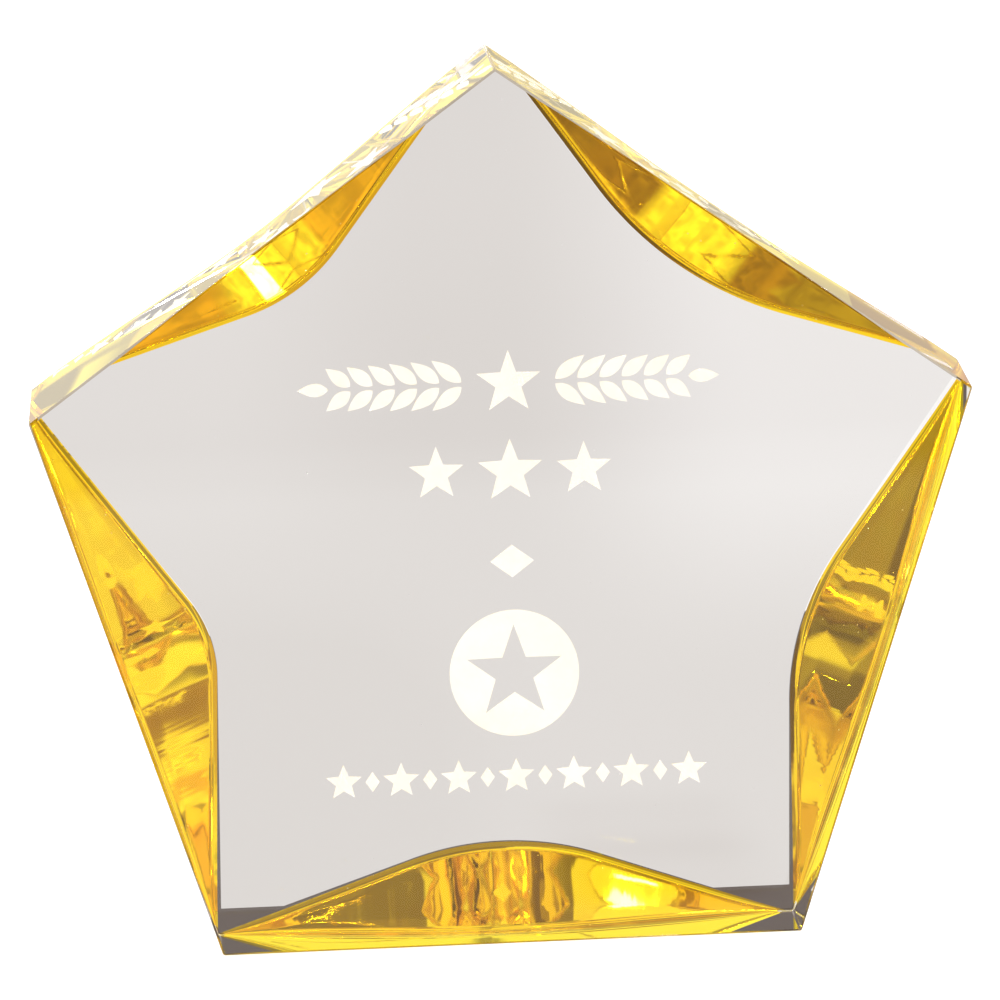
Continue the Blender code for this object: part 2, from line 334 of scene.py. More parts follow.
def outline_prism(name, outline, low, high, matrix=Matrix.Identity(4)):
    """A flat outline (local x, y) given depth from low to high along local z, closed at both ends."""
    bm = bmesh.new()
    ring = [bm.verts.new((x, y, low)) for x, y in outline]
    face = bm.faces.new(ring)
    moved = bmesh.ops.extrude_face_region(bm, geom=[face])
    top = [g for g in moved["geom"] if isinstance(g, bmesh.types.BMVert)]
    bmesh.ops.translate(bm, verts=top, vec=(0, 0, high - low))
    bmesh.ops.recalc_face_normals(bm, faces=bm.faces)
    mesh = bpy.data.meshes.new(name)
    bm.to_mesh(mesh)
    bm.free()
    return new_object(name, mesh, matrix)


# Local x, y and z of a prism go to world x, z and -y.
UPRIGHT = Matrix(((1, 0, 0, 0), (0, 0, -1, 0), (0, 1, 0, 0), (0, 0, 0, 1)))


def pentagon(name, front, back, shrink=0.0):
    radius = RADIUS - shrink / math.cos(math.radians(36))
    corners = [plate_corner(i, radius) for i in range(5)]
    return outline_prism(name, [(c.x, c.z) for c in corners], -back, -front, UPRIGHT)


def scoop_outline(scoop):
    a, b = math.atan(scoop["rise"]), math.atan(scoop["fall"])
    peak_u = (scoop["fall"] * scoop["end"] + scoop["rise"] * scoop["start"]) / (scoop["rise"] + scoop["fall"])
    peak_v = scoop["rise"] * (peak_u - scoop["start"])
    spread = (math.sin(a) + math.sin(b)) / math.sin(a + b)
    radius = (peak_v - scoop["reach"]) / (spread - 1.0)
    centre_v = peak_v - radius * spread
    centre_u = peak_u + (radius + math.cos(a) * (centre_v - peak_v)) / math.sin(a)
    points = []
    for step in range(ARC_STEPS + 1):
        turn = a - (a + b) * step / ARC_STEPS
        points.append((centre_u - radius * math.sin(turn), centre_v + radius * math.cos(turn)))
    return points


def scoop_stations(scoop):
    """How far the scoop bites into the back face (v) at places along the edge (u), in metres."""
    arc = [(u * SIDE, v * SIDE) for u, v in scoop_outline(scoop)]
    (u0, v0), (u1, v1) = arc[0], arc[-1]
    shares = [0.004, 0.03, 0.08, 0.15, 0.23, 0.32, 0.41, 0.50, 0.58, 0.66, 0.74, 0.82, 0.90, 0.96]
    bites = [-0.006, -0.0004]
    before = [(u0 - (v0 - v) / scoop["rise"], v) for v in [*bites, *(v0 * k for k in shares)]]
    after = [(u1 + (v1 - v) / scoop["fall"], v) for v in [*bites, *(v1 * k for k in shares)]]
    return [*before, *arc, *after[::-1]]


def curve_points(p0, p1, p2, places):
    return [p0 * (1 - k) ** 2 + p1 * 2 * k * (1 - k) + p2 * k ** 2 for k in places]


def scoop_profile(v, slope, lip_back, lip_wall):
    """Section across the edge, as (into the plate, forward from the back face), back face first."""
    away = Vector((-1.0, slope)).normalized()
    lip_b = lip_back * math.tanh(0.35 * v / lip_back)
    lip_w = lip_wall * math.tanh(0.35 * v / lip_wall)
    start = Vector((v - lip_b, 0.0))
    stop = Vector((0.0, (v - lip_b) * slope))
    first = curve_points(start + Vector((lip_b, 0.0)), start, start + away * lip_b, [0.12, 0.3, 0.48, 0.66, 0.84, 1.0])
    last = curve_points(stop - away * lip_w, stop, stop + Vector((0.0, lip_w)), [0.0, 0.15, 0.3, 0.45, 0.6, 0.75, 0.9])
    middle_part = [first[-1].lerp(last[0], k) for k in (0.25, 0.5, 0.75)]
    return [*first, *middle_part, *last]


def scoop_surface(scoop, lift):
    """Rows of points over the scoop, moved off it by lift (towards the outside of the plate)."""
    corner, along, inward = edge_axes(scoop["edge"])
    forward = Vector((0.0, -1.0, 0.0))
    stations = scoop_stations(scoop)
    deepest = max(v for _, v in stations)
    slope = (deepest * math.tan(math.radians(scoop["tilt"])) - LIP_WALL) / (deepest - LIP_BACK)
    flat = []
    for u, v in stations:
        if v > 0:
            row = scoop_profile(v, slope, LIP_BACK, LIP_WALL)
            head, tail = (row[0] - row[1]).normalized(), (row[-1] - row[-2]).normalized()
        else:
            tail = Vector((-1.0, slope)).normalized()
            head = -tail
            foot = Vector((slope, 1.0)).normalized() * (v * slope / math.hypot(1.0, slope))
            row = [foot + tail * (0.00004 * (k - 7.5)) for k in range(16)]
        row = [row[0] + head * 0.0025, *row, row[-1] + tail * 0.0025]
        flat.append([Vector((u, x, y)) for x, y in row])
    rows = []
    for i, row in enumerate(flat):
        before, after = flat[max(i - 1, 0)], flat[min(i + 1, len(flat) - 1)]
        out = []
        for j, point in enumerate(row):
            across = row[min(j + 1, len(row) - 1)] - row[max(j - 1, 0)]
            if j == 0:
                across = row[1] - row[0]
            normal = (after[j] - before[j]).cross(across).normalized()
            if normal.y + normal.z > 0:
                normal.negate()
            u, x, y = point + normal * lift
            out.append(corner + along * u + inward * x + forward * y)
        rows.append(out)
    return rows


def solid_between(name, upper, lower):
    """Closed mesh whose faces run over two grids of points and round their rims."""
    bm = bmesh.new()
    grids = [[[bm.verts.new(p) for p in row] for row in rows] for rows in (upper, lower)]
    for grid in grids:
        for a, b in zip(grid, grid[1:]):
            for j in range(len(a) - 1):
                bm.faces.new((a[j], a[j + 1], b[j + 1], b[j]))
    top, low = grids
    for rim_a, rim_b in (
        (top[0], low[0]),
        (top[-1], low[-1]),
        ([r[0] for r in top], [r[0] for r in low]),
        ([r[-1] for r in top], [r[-1] for r in low]),
    ):
        for j in range(len(rim_a) - 1):
            bm.faces.new((rim_a[j], rim_a[j + 1], rim_b[j + 1], rim_b[j]))
    bmesh.ops.recalc_face_normals(bm, faces=bm.faces)
    mesh = bpy.data.meshes.new(name)
    bm.to_mesh(mesh)
    bm.free()
    return new_object(name, mesh)


def scoop_cutter(name, scoop):
    corner, along, inward = edge_axes(scoop["edge"])
    outside = corner - inward * 0.008 + Vector((0.0, 0.008, 0.0))
    rows = scoop_surface(scoop, 0.0)
    bm = bmesh.new()
    grid = []
    for row, (u, _) in zip(rows, scoop_stations(scoop)):
        grid.append([bm.verts.new(p) for p in (*row, outside + along * u)])
    for a, b in zip(grid, grid[1:]):
        for j in range(len(a)):
            k = (j + 1) % len(a)
            bm.faces.new((a[j], a[k], b[k], b[j]))
    for ring in (grid[0], grid[-1]):
        bm.faces.new(ring)
    bmesh.ops.recalc_face_normals(bm, faces=bm.faces)
    mesh = bpy.data.meshes.new(name)
    bm.to_mesh(mesh)
    bm.free()
    return new_object(name, mesh)


def boolean(target, operation, cutter):
    made = target.modifiers.new(operation.lower(), "BOOLEAN")
    made.operation = operation
    made.solver = "EXACT"
    made.material_mode = "TRANSFER"
    if isinstance(cutter, bpy.types.Collection):
        made.operand_type = "COLLECTION"
        made.collection = cutter
    else:
        made.object = cutter


def settle(obj):
    """Applies the modifiers and puts the mesh in world space with the object at the origin."""
    bpy.context.view_layer.update()
    graph = bpy.context.evaluated_depsgraph_get()
    mesh = bpy.data.meshes.new_from_object(obj.evaluated_get(graph))
    mesh.transform(obj.matrix_world)
    mesh.name = obj.name
    obj.modifiers.clear()
    obj.data = mesh
    obj.matrix_world = Matrix.Identity(4)
    return obj


def drop_objects(objects):
    for obj in list(objects):
        bpy.data.objects.remove(obj, do_unlink=True)


# The plate's flat faces, as outward normals and distances from the origin.
FLATS = [(Vector((0.0, -1.0, 0.0)), -FRONT), (Vector((0.0, 1.0, 0.0)), BACK)]
for turn in range(5):
    lean = math.radians(-90 + 72 * turn)
    outward = Vector((math.cos(lean), 0.0, math.sin(lean)))
    FLATS.append((outward, APOTHEM + outward.z * APOTHEM))


def flat_of(polygon):
    """Which of the plate's flat faces a polygon lies in, or -1."""
    for i, (normal, distance) in enumerate(FLATS):
        if polygon.normal.dot(normal) > 0.99999 and abs(polygon.center.dot(normal) - distance) < 3e-6:
            return i
    return -1


def tidy(obj, smooth_under, final):
    """Welds what a cut left nearly touching, shades smooth below an angle, and keeps sharp the
    lines round flat faces and between faces of different slots. final gives the last slots."""
    bm = bmesh.new()
    bm.from_mesh(obj.data)
    bmesh.ops.remove_doubles(bm, verts=bm.verts, dist=2e-7)
    bmesh.ops.dissolve_degenerate(bm, edges=bm.edges, dist=1e-7)
    bmesh.ops.recalc_face_normals(bm, faces=bm.faces)
    bm.to_mesh(obj.data)
    bm.free()
    mesh = obj.data
    mesh.shade_smooth()
    mesh.set_sharp_from_angle(angle=math.radians(smooth_under))
    names = [m.name for m in mesh.materials]
    met = {}
    for polygon in mesh.polygons:
        flat = flat_of(polygon)
        for key in polygon.edge_keys:
            met.setdefault(key, set()).add((names[polygon.material_index], flat))
    sharp = mesh.attributes.get("sharp_edge") or mesh.attributes.new("sharp_edge", "BOOLEAN", "EDGE")
    for edge in mesh.edges:
        if len(met.get(tuple(sorted(edge.vertices)), ())) > 1:
            sharp.data[edge.index].value = True
    kept = []
    for material in final.values():
        if material not in kept:
            kept.append(material)
    slots = [kept.index(final.get(names[polygon.material_index], kept[0])) for polygon in mesh.polygons]
    mesh.materials.clear()
    for material in kept:
        mesh.materials.append(material)
    for polygon, slot in zip(mesh.polygons, slots):
        polygon.material_index = slot
    return obj


# ------------------------------------------------------------------ left point relief
corner_l, along_l, _ = edge_axes(4)
_, along_tl, _ = edge_axes(3)
front_point = Vector((corner_l.x, FRONT, corner_l.z))
on_top_edge = corner_l - along_tl * (LEFT_POINT_RELIEF[0] * SIDE)
on_left_edge = corner_l + along_l * (LEFT_POINT_RELIEF[1] * SIDE)
facet = (on_top_edge - front_point).cross(on_left_edge - front_point).normalized()
if facet.x > 0:
    facet.negate()
square = [(-0.03, -0.03), (0.03, -0.03), (0.03, 0.03), (-0.03, 0.03)]
relief = outline_prism(
    "relief",
    square,
    0.0,
    0.03,
    Matrix.Translation(front_point) @ facet.to_track_quat("Z", "Y").to_matrix().to_4x4(),
)

# ------------------------------------------------------------------ ornament outlines
MID, LAUREL_Z, STARS_Z, JEWEL_Z = 0.0021, 0.0865, 0.0724, 0.0581
DISC_Z, DISC_R, BORDER_Z = 0.0402, 0.0101, 0.0236


def turned(points, x, z, angle=0.0, scale=1.0, flip=False):
    c, s = math.cos(angle), math.sin(angle)
    out = []
    for px, pz in points:
        if flip:
            px = -px
        out.append((x + scale * (c * px - s * pz), z + scale * (s * px + c * pz)))
    return out[::-1] if flip else out


def star_points(outer, inner):
    radii = [outer if i % 2 == 0 else inner for i in range(10)]
    return [(r * math.sin(math.pi * i / 5), r * math.cos(math.pi * i / 5)) for i, r in enumerate(radii)]


def leaf_points(length, width, steps=16):
    upper = [
        (length * t, width / 2 * math.sin(math.pi * t ** 0.8)) for t in (i / steps for i in range(1, steps))
    ]
    lower = [(x, -z) for x, z in reversed(upper)]
    return [(0.0, 0.0), *lower[::-1], (length, 0.0), *upper[::-1]]


def diamond(half_width, half_height, x, z):
    return [(x - half_width, z), (x, z - half_height), (x + half_width, z), (x, z + half_height)]


engraving = bpy.data.collections.new("engraving")
work.children.link(engraving)


def engrave(outline):
    cutter = outline_prism("cut", outline, -BACK - 0.001, -BACK + ENGRAVE_DEPTH, UPRIGHT)
    cutter.data.materials.append(FROST)
    work.objects.unlink(cutter)
    engraving.objects.link(cutter)
    return cutter


engrave(turned(star_points(0.0052, 0.0021), MID, LAUREL_Z))
for flip in (False, True):
    for i in range(6):
        leaf_reach, length = 0.0073 + 0.00345 * i, 0.0058 - 0.00020 * i
        for up in (1.0, -1.0):
            leaf = turned(leaf_points(length, 0.0022), leaf_reach, up * 0.00040, math.radians(38 * up))
            engrave(turned(leaf, MID, LAUREL_Z, flip=flip))
    engrave(turned(turned(leaf_points(0.0048, 0.0021), 0.0280, 0.0), MID, LAUREL_Z, flip=flip))
for x, size in ((-0.0115, 0.0044), (0.0, 0.0052), (0.0115, 0.0044)):
    engrave(turned(star_points(size, size * 0.42), MID + x, STARS_Z))
engrave(diamond(0.0034, 0.0026, MID, JEWEL_Z))
for i in range(-3, 4):
    engrave(turned(star_points(0.0029, 0.0013), MID + 0.009 * i, BORDER_Z))
for i in range(-3, 3):
    engrave(diamond(0.0011, 0.0016, MID + 0.009 * (i + 0.5), BORDER_Z))
disc = engrave(
    [
        (MID + DISC_R * math.cos(math.tau * i / 96), DISC_Z + DISC_R * math.sin(math.tau * i / 96))
        for i in range(96)
    ]
)
standing = outline_prism(
    "standing_star", turned(star_points(0.0078, 0.0031), MID, DISC_Z), -BACK - 0.003, -BACK + 0.003, UPRIGHT
)
boolean(disc, "DIFFERENCE", standing)
settle(disc)
disc.data.materials.clear()
disc.data.materials.append(FROST)
for polygon in disc.data.polygons:
    polygon.material_index = 0

# ------------------------------------------------------------------ the clear plate
block = pentagon("star_plate_clear", FRONT, BACK)
block.data.materials.append(CLEAR)
block.data.materials.append(EDGE)
edge_break = block.modifiers.new("edge_break", "BEVEL")
edge_break.width = EDGE_BREAK
edge_break.segments = 4
edge_break.material = 1
edge_break.limit_method = "ANGLE"
boolean(block, "DIFFERENCE", relief)
GROUND = bpy.data.materials.new("ground")
scoop_cutters = []
for name, scoop in SCOOPS.items():
    cutter = scoop_cutter(name + "_cutter", scoop)
    cutter.data.materials.append(GROUND)
    scoop_cutters.append(cutter)
    boolean(block, "DIFFERENCE", cutter)
boolean(block, "DIFFERENCE", engraving)
settle(block)
tidy(block, 24, {CLEAR.name: CLEAR, EDGE.name: EDGE, GROUND.name: CLEAR, FROST.name: FROST})

# ------------------------------------------------------------------ the gold linings
trim = pentagon("trim", FRONT - 0.002, BACK, FILM_SHORT)
boolean(trim, "DIFFERENCE", relief)
trim.data.materials.append(GROUND)
linings = []
for name, scoop in SCOOPS.items():
    film = solid_between("gold_" + name, scoop_surface(scoop, CONTACT), scoop_surface(scoop, FILM_OUTER))
    _, along, inward = edge_axes(scoop["edge"])
    tilt = math.radians(scoop["tilt"])
    lines = -math.cos(tilt) * inward + math.sin(tilt) * Vector((0.0, -1.0, 0.0))
    gold = mirror_gold("gold_film_" + name, along, lines, 1.7 * scoop["edge"])
    film.data.materials.append(gold)
    boolean(film, "INTERSECT", trim)
    settle(film)
    tidy(film, 24, {gold.name: gold, GROUND.name: gold})
    linings.append((name, film))

drop_objects([relief, standing, trim, *scoop_cutters, *engraving.objects])

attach(block, "root")
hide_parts("acrylic_star_plate")
for name, film in linings:
    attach(film, "root")
    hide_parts("gold_lining_" + name)


# ------------------------------------------------------------------ studio


def sheet(name, centre, facing, width, height, material, seen_by_camera=False):
    bm = bmesh.new()
    bmesh.ops.create_grid(bm, x_segments=1, y_segments=1, size=0.5)
    bmesh.ops.scale(bm, vec=(width, height, 1), verts=bm.verts)
    mesh = bpy.data.meshes.new(name)
    bm.to_mesh(mesh)
    bm.free()
    turn = Vector(facing).normalized().to_track_quat("Z", "Y").to_matrix().to_4x4()
    made = bpy.data.objects.new(name, mesh)
    made.matrix_world = Matrix.Translation(centre) @ turn
    scene.collection.objects.link(made)
    mesh.materials.append(material)
    made.visible_camera = seen_by_camera
    made.visible_shadow = False
    return made


class Sky(Tree):
    """A Tree on the world: a light tent built of soft-edged panels by direction."""

    def __init__(self, name):
        self.world = bpy.data.worlds.new(name)
        self.world.use_nodes = True
        self.tree = self.world.node_tree
        self.tree.nodes.clear()
        self.out = self.node("ShaderNodeOutputWorld")


def band(t, value, low, high, soft_low, soft_high):
    """One between low and high, easing to nothing over the soft widths outside them."""
    rise = t.ease(value, low - soft_low, low)
    fall = t.ease(value, high, high + soft_high, 1.0, 0.0)
    return t.math("MULTIPLY", rise, fall)


sky = Sky("studio")
scene.world = sky.world
look = sky.split(sky.node("ShaderNodeTexCoord").outputs["Generated"])
# Azimuth 0 looks back at the camera, 90 is to its right hand side (+X), 180 behind the plate.
azimuth = sky.math("MULTIPLY", sky.math("ARCTAN2", look[0], sky.math("MULTIPLY", look[1], -1.0)), 180 / math.pi)
height = sky.math("MULTIPLY", sky.math("ARCSINE", look[2]), 180 / math.pi)
away = sky.math("ABSOLUTE", azimuth)

tone = 0.40
warmth = 0.0
for bright, warm, side, (a0, a1, sa, sb), (e0, e1, se, sf) in (
    (1.30, 0.0, azimuth, (54, 144, 7, 6), (-90, 26, 1, 6)),          # right wall of the tent
    (1.15, 0.9, azimuth, (42, 112, 4, 8), (24, 37, 6, 6)),           # and its warm upper edge
    (1.12, 0.0, azimuth, (-121, -74, 4, 6), (-90, 32, 1, 8)),        # left wall
    (0.85, 0.7, azimuth, (-129, -121, 3, 3), (19, 34, 4, 6)),        # its warm far edge
    (1.50, 0.0, azimuth, (-117, -109, 3, 3), (4, 10, 2, 3)),         # a lamp in it
    (0.18, 0.0, azimuth, (-70, -55, 4, 3), (-6, 14, 6, 3)),          # dark edge of the left wall
    (1.00, 0.0, azimuth, (-51, -36, 2, 4), (15.5, 32, 2.5, 6)),      # bar over that edge
    (1.00, 0.4, azimuth, (158, 172, 4, 2), (-1.3, 3, 0.1, 2)),       # gold glow on the horizon
    (0.90, 0.0, azimuth, (-18, -6, 4, 4), (-3, 4, 1, 4)),            # gap beside the camera
    (0.85, 0.0, azimuth, (14, 28, 4, 4), (14, 28, 5, 5)),            # and over it
    (0.127, 0.0, azimuth, (152, 181, 7, 1), (-90, 18, 1, 9)),        # dark backdrop
    (0.127, 0.0, azimuth, (-181, -138, 1, 5), (-90, 18, 1, 9)),
    (0.14, 0.0, azimuth, (-152, -135, 6, 3), (18, 50, 6, 6)),
    (1.05, 0.0, azimuth, (128, 174.5, 8, 1.5), (39, 62, 4, 5)),      # above the backdrop, right
    (0.30, 0.0, away, (176, 181, 1, 1), (30, 50, 6, 6)),             # gap over the middle
    (0.24, 0.0, azimuth, (-22, 6, 4, 3), (34, 50, 4, 5)),            # gap in front
    (1.28, 0.0, azimuth, (12, 40, 4, 8), (38, 60, 5, 6)),            # front softbox, right
    (0.85, 0.0, azimuth, (-46, -27, 8, 4), (42, 62, 6, 6)),          # front softbox, left
    (1.12, 0.1, away, (-1, 181, 1, 1), (67, 91, 5, 1)),              # ceiling
):
    inside = sky.math("MULTIPLY", band(sky, side, a0, a1, sa, sb), band(sky, height, e0, e1, se, sf))
    tone = sky.math("ADD", tone, sky.math("MULTIPLY", inside, sky.math("SUBTRACT", bright, tone)))
    warmth = sky.math("ADD", warmth, sky.math("MULTIPLY", inside, sky.math("SUBTRACT", warm, warmth)))
path = sky.node("ShaderNodeLightPath")
# Light that only glances off the outside comes from a lamp over the backdrop.
glance = sky.math("LESS_THAN", path.outputs["Transmission Depth"], 0.5)
lamp = sky.math("MULTIPLY", band(sky, away, 118, 181, 20, 1), band(sky, height, -90, 50, 1, 20))
tone = sky.math("ADD", tone, sky.math("MULTIPLY", sky.math("MULTIPLY", glance, lamp), sky.math("SUBTRACT", sky.ease(azimuth, -60, 60, 1.55, 1.10), tone)))
shade = sky.mix(sky.ease(tone, 0.1, 0.7), (1.0, 0.77, 0.66), (1.0, 0.985, 0.965))
shade = sky.mix(warmth, shade, (1.0, 0.66, 0.50))
# It is warmer to the right, where the gold itself throws light on the tent.
glow = sky.mix(sky.ease(azimuth, -60, 60), (1.0, 0.97, 0.92), (1.0, 0.88, 0.60))
shade = sky.mix(sky.math("MULTIPLY", glance, lamp), shade, glow)
# Seen from behind or the side, what shows through the clear faces is the evenly lit tent.
plainly = sky.math("LESS_THAN", path.outputs["Glossy Depth"], 0.5)
plainly = sky.math("MULTIPLY", plainly, sky.math("GREATER_THAN", path.outputs["Transmission Depth"], 0.5))
plainly = sky.math("MULTIPLY", plainly, sky.ease(look[1], 0.45, 0.70, 1.0, 0.0))
tone = sky.math("ADD", tone, sky.math("MULTIPLY", plainly, sky.math("SUBTRACT", sky.ease(height, -20, 40, 0.80, 0.92), tone)))
shade = sky.mix(plainly, shade, (1.0, 0.975, 0.955))
felt = sky.node("ShaderNodeBackground")
sky.put(shade, felt.inputs["Color"])
sky.put(tone, felt.inputs["Strength"])
plain = sky.node("ShaderNodeBackground")
sky.put(sky.mix(path.outputs["Is Camera Ray"], (1.0, 1.0, 1.16), (1.0, 1.0, 1.0)), plain.inputs["Color"])
sky.put(sky.ease(path.outputs["Diffuse Depth"], 0.0, 1.0, 1.05, 1.30), plain.inputs["Strength"])
either = sky.node("ShaderNodeMixShader")
open_ray = sky.math("MAXIMUM", path.outputs["Is Camera Ray"], sky.math("GREATER_THAN", path.outputs["Diffuse Depth"], 0.5))
sky.put(open_ray, either.inputs[0])
sky.link(felt.outputs[0], either.inputs[1])
sky.link(plain.outputs[0], either.inputs[2])
sky.link(either.outputs[0], sky.out.inputs["Surface"])


def pale_floor():
    """White paper. Seen in reflections and through the plate it glows with painted light: painted lamp pools on its
    right, painted gold light near the plate, painted shade to the left, in front and behind, and a painted reflection
    of a bare lamp.
    """
    t = Tree("pale_floor")
    place = t.position()
    x, y, _ = t.split(place)
    grain = t.noise(place, 900.0, 3.0, 0.6)
    # Painted light: some of the painted pools show only to rays heading left or right.
    heading = t.split(t.node("ShaderNodeNewGeometry").outputs["Incoming"])[0]
    left = t.ease(heading, 0.03, 0.20)
    right = t.ease(t.math("MULTIPLY", heading, -1.0), 0.13, 0.30)
    tone = 1.04
    warmth = 0.0
    for level, warm, facing, (x0, x1, sx), (y0, y1, sy) in (
        (1.10, 0.0, right, (0.500, 1.600, 0.100), (0.500, 1.600, 0.100)),    # lamp pool, far right
        (0.85, 0.6, 1.0, (0.360, 1.600, 0.040), (1.650, 3.000, 0.050)),      # gold glow behind it
        (0.70, 0.6, right, (-0.100, 0.100, 0.020), (-0.320, -0.090, 0.020)), # in front
        (0.14, 0.8, left, (-0.100, 0.100, 0.020), (-0.320, -0.090, 0.020)),
        (0.80, 1.0, right, (-0.060, -0.012, 0.006), (-0.020, 0.012, 0.008)), # under the left point
        (1.30, 0.0, right, (0.000, 0.070, 0.008), (-0.020, -0.003, 0.004)),  # under the middle
        (0.92, 0.9, right, (0.078, 0.098, 0.006), (-0.020, 0.006, 0.008)),   # under the right point
        (0.60, 0.9, right, (0.102, 0.140, 0.006), (-0.020, 0.006, 0.008)),
        (1.10, 1.0, right, (0.050, 0.090, 0.008), (-0.035, -0.018, 0.005)),  # gold light by the foot
        (1.30, 0.3, right, (0.098, 0.130, 0.008), (-0.056, -0.030, 0.006)),  # right foot
        (0.44, 1.0, right, (0.150, 0.700, 0.010), (-0.400, -0.064, 0.008)),
        (1.40, 0.0, left, (-0.053, -0.009, 0.004), (-0.025, 0.0005, 0.002)),
        (0.44, 1.0, left, (0.000, 0.060, 0.005), (-0.025, 0.008, 0.008)),
        (0.38, 1.0, left, (-0.140, -0.060, 0.007), (-0.060, 0.004, 0.010)),
        (0.46, 0.3, left, (-0.040, 0.070, 0.010), (-0.0010, 0.009, 0.0015)),  # under the back half
        (0.46, 0.3, right, (0.010, 0.070, 0.008), (-0.0010, 0.009, 0.0015)),
        (0.45, 0.4, 1.0, (0.018, 0.036, 0.012), (-0.062, -0.040, 0.016)),    # shade in front
        (0.45, 0.2, 1.0, (-0.250, 0.250, 0.100), (-0.900, -0.330, 0.030)),   # near edge of the table
        # Painted shadow: the dark strip on the paper right behind the plate.
        (0.127, 0.0, 1.0, (-0.072, 0.100, 0.010), (BACK + 0.002, 0.200, 0.0015)),  # behind the plate
        (0.127, 0.0, left, (-0.300, 0.300, 0.060), (0.300, 1.500, 0.100)),   # and further back
        (1.25, 0.2, left, (-0.084, -0.046, 0.008), (0.006, 0.028, 0.005)),   # a pool of gold light there
        (0.34, 0.0, 1.0, (-1.200, -0.400, 0.100), (0.000, 1.200, 0.100)),    # far left
        (80.0, 0.0, right, (0.0115, 0.0250, 0.0015), (-0.020, 0.000, 0.002)),  # a bare lamp's reflection
    ):
        inside = t.math("MULTIPLY", band(t, x, x0, x1, sx, sx), band(t, y, y0, y1, sy, sy))
        inside = t.math("MULTIPLY", inside, facing)
        tone = t.math("ADD", tone, t.math("MULTIPLY", inside, t.math("SUBTRACT", level, tone)))
        warmth = t.math("ADD", warmth, t.math("MULTIPLY", inside, t.math("SUBTRACT", warm, warmth)))
    light = t.node("ShaderNodeLightPath")
    # Close to the plate the gold throws a mottled light on the paper.
    mottle = t.ease(t.noise(t.mapping(place, scale=(1.0, 2.2, 1.0)), 95.0, 3.0, 0.55), 0.34, 0.66, 0.72, 1.30)
    mottle = t.math("SUBTRACT", mottle, 1.0)
    mottle = t.math("MULTIPLY", mottle, band(t, y, -0.040, 0.0105, 0.03, 0.001))
    mottle = t.math("MULTIPLY", mottle, t.math("MAXIMUM", left, right))
    tone = t.math("MULTIPLY", tone, t.math("ADD", mottle, 1.0))
    shade = t.mix(t.ease(tone, 0.1, 0.7), (1.0, 0.77, 0.66), (1.0, 0.985, 0.965))
    shade = t.mix(warmth, shade, (1.0, 0.68, 0.50))
    plainly = t.math("LESS_THAN", light.outputs["Glossy Depth"], 0.5)
    plainly = t.math("MULTIPLY", plainly, t.math("GREATER_THAN", light.outputs["Transmission Depth"], 0.5))
    toward = t.split(t.node("ShaderNodeNewGeometry").outputs["Incoming"])[1]
    plainly = t.math("MULTIPLY", plainly, t.ease(toward, -0.70, -0.45))
    tone = t.math("ADD", tone, t.math("MULTIPLY", plainly, t.math("SUBTRACT", t.ease(y, -0.6, 0.0, 0.80, 0.70), tone)))
    shade = t.mix(plainly, shade, (1.0, 0.975, 0.955))
    pool = t.node("ShaderNodeEmission")
    t.put(shade, pool.inputs["Color"])
    t.put(tone, pool.inputs["Strength"])
    diffuse = t.node("ShaderNodeBsdfDiffuse")
    t.put(t.mix(grain, (0.86, 0.86, 0.86), (0.90, 0.90, 0.90)), diffuse.inputs["Color"])
    lift = t.node("ShaderNodeEmission")
    lift.inputs["Color"].default_value = (1.0, 1.0, 1.0, 1.0)
    lift.inputs["Strength"].default_value = 0.30
    both = t.node("ShaderNodeAddShader")
    t.link(diffuse.outputs[0], both.inputs[0])
    t.link(lift.outputs[0], both.inputs[1])
    either = t.node("ShaderNodeMixShader")
    open_ray = t.math("MAXIMUM", light.outputs["Is Camera Ray"], t.math("GREATER_THAN", light.outputs["Diffuse Depth"], 0.5))
    t.put(open_ray, either.inputs[0])
    t.link(pool.outputs[0], either.inputs[1])
    t.link(both.outputs[0], either.inputs[2])
    return t.finish(either.outputs[0])


floor = sheet("floor", (0.0, 0.0, 0.0), (0, 0, 1), 6.0, 6.0, pale_floor(), True)
floor.location.z = -0.0002



def glint(name, near, direction, far, wide, high, strength):
    """A small bare lamp out along direction from near, seen only in reflections."""
    t = Tree(name)
    place = t.split(t.node("ShaderNodeTexCoord").outputs["Generated"])
    fade = 1.0
    for axis in (0, 1):
        aside = t.math("ABSOLUTE", t.math("SUBTRACT", place[axis], 0.5))
        fade = t.math("MULTIPLY", fade, t.ease(aside, 0.5, 0.42))
    lamp = t.node("ShaderNodeEmission")
    lamp.inputs["Color"].default_value = (1.0, 0.985, 0.96, 1.0)
    t.put(t.math("MULTIPLY", fade, strength), lamp.inputs["Strength"])
    clear = t.node("ShaderNodeBsdfTransparent")
    both = t.node("ShaderNodeMixShader")
    t.put(fade, both.inputs[0])
    t.link(clear.outputs[0], both.inputs[1])
    t.link(lamp.outputs[0], both.inputs[2])
    direction = Vector(direction).normalized()
    made = sheet(name, Vector(near) + direction * far, -direction, wide, high, t.finish(both.outputs[0]))
    across = Vector((0.809, 0.0, -0.588))
    across = (across - direction * across.dot(direction)).normalized()
    turn = Matrix((across, (-direction).cross(across), -direction)).transposed().to_4x4()
    made.matrix_world = Matrix.Translation(Vector(near) + direction * far) @ turn
    made.visible_diffuse = False
    return made


glint("glint_front", (0.0647, -0.0080, 0.0918), (0.248, -0.688, 0.682), 0.040, 0.0074, 0.0021, 80.0)
glint("glint_back", (0.0650, -0.0086, 0.0916), (0.248, 0.688, 0.682), 0.040, 0.0050, 0.0011, 80.0)

SHEET_GAP = 0.0004       # the pale sheet stands this far behind the back face
SHEET_INSET = 0.00012    # and stays this far inside the scoops' outlines


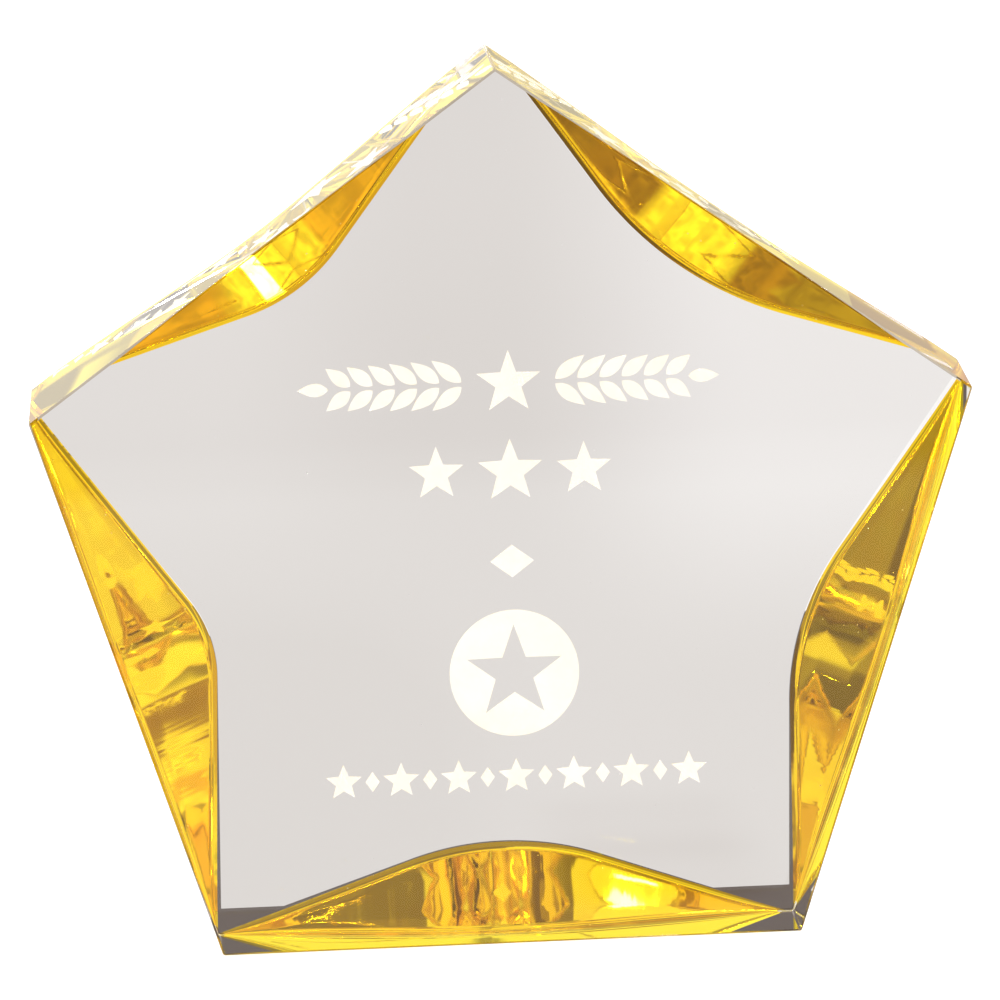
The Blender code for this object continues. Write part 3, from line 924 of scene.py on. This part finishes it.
def backing_sheet():
    """Pale sheet cut to the clear star, standing just behind it. It is no lamp but glows with painted light, seen only
    in reflections and through the plate.
    """
    outline = []
    for name, scoop in SCOOPS.items():
        corner, along, inward = edge_axes(scoop["edge"])
        points = list(scoop_outline(scoop))
        if scoop["start"] > 0.01:
            points.insert(0, (scoop["start"], 0.0))
        if scoop["end"] < 0.99:
            points.append((scoop["end"], 0.0))
        for u, v in points:
            point = corner + along * (u * SIDE) + inward * (v * SIDE + SHEET_INSET)
            outline.append((point.x, point.z))
        ahead = plate_corner(scoop["edge"] + 1, RADIUS - 0.0010)
        outline.append((ahead.x, ahead.z))
    made = outline_prism("backing_sheet", outline, -BACK - SHEET_GAP - 0.0001, -BACK - SHEET_GAP, UPRIGHT)
    foot = outline_prism(
        "sheet_foot", [(-0.1, -0.01), (0.1, -0.01), (0.1, 0.0041), (-0.1, 0.0041)], -BACK - 0.01, -BACK, UPRIGHT
    )
    boolean(made, "DIFFERENCE", foot)
    settle(made)
    drop_objects([foot])
    work.objects.unlink(made)
    scene.collection.objects.link(made)
    t = Tree("backing_sheet")
    x, _, z = t.split(t.position())
    # Painted light: brightest low on the right arm, dimmer toward the lower left foot.
    tone = 0.14
    for amount, a, b in (
        (0.84, t.ease(x, 0.0, 0.042), t.ease(z, 0.036, 0.078)),
        (0.30, t.ease(x, -0.010, -0.045), t.ease(z, 0.050, 0.085)),
        (-0.34, t.ease(x, 0.010, -0.035), t.ease(z, 0.060, 0.030)),
        (0.14, t.ease(z, 0.080, 0.120), 1.0),
    ):
        tone = t.math("ADD", tone, t.math("MULTIPLY", t.math("MULTIPLY", a, b), amount))
    colour = t.mix(tone, (0.722, 0.688, 0.662), (0.895, 0.870, 0.857))
    light = t.node("ShaderNodeLightPath")
    # Painted light: to rays that have bounced off a diffuse surface the sheet glows brighter, which lights the
    # engraving.
    colour = t.mix(t.math("GREATER_THAN", light.outputs["Diffuse Depth"], 0.5), colour, (1.2, 1.2, 1.18))
    made_glow = t.node("ShaderNodeEmission")
    t.put(colour, made_glow.inputs["Color"])
    made_glow.inputs["Strength"].default_value = 1.0
    made.data.materials.clear()
    made.data.materials.append(t.finish(made_glow.outputs[0]))
    for polygon in made.data.polygons:
        polygon.material_index = 0
    made.visible_camera = False
    made.visible_shadow = False
    made.visible_diffuse = False
    return made


card = backing_sheet()

# ------------------------------------------------------------------ camera
camera_data = bpy.data.cameras.new("camera")
camera_data.sensor_width = 36.0
camera_data.lens = 513.005
camera_data.clip_start, camera_data.clip_end = 0.05, 50.0
camera = bpy.data.objects.new("camera", camera_data)
scene.collection.objects.link(camera)
right = Vector((0.995899, -0.088162, -0.020311))
up = Vector((0.040462, 0.233235, 0.971578))
back = Vector((-0.080919, -0.968416, 0.235845))
spot = Vector((-0.17839, -2.13703, 0.58907))
camera.matrix_world = Matrix(
    (
        (right.x, up.x, back.x, spot.x),
        (right.y, up.y, back.y, spot.y),
        (right.z, up.z, back.z, spot.z),
        (0, 0, 0, 1),
    )
)
scene.camera = camera

scene.view_settings.view_transform = "Standard"
scene.view_settings.look = "None"
scene.cycles.max_bounces = 28
scene.cycles.glossy_bounces = 20
scene.cycles.transmission_bounces = 28
scene.cycles.diffuse_bounces = 4
scene.cycles.transparent_max_bounces = 8
scene.cycles.blur_glossy = 0.0
scene.cycles.sample_clamp_indirect = 90.0

bpy.context.view_layer.update()
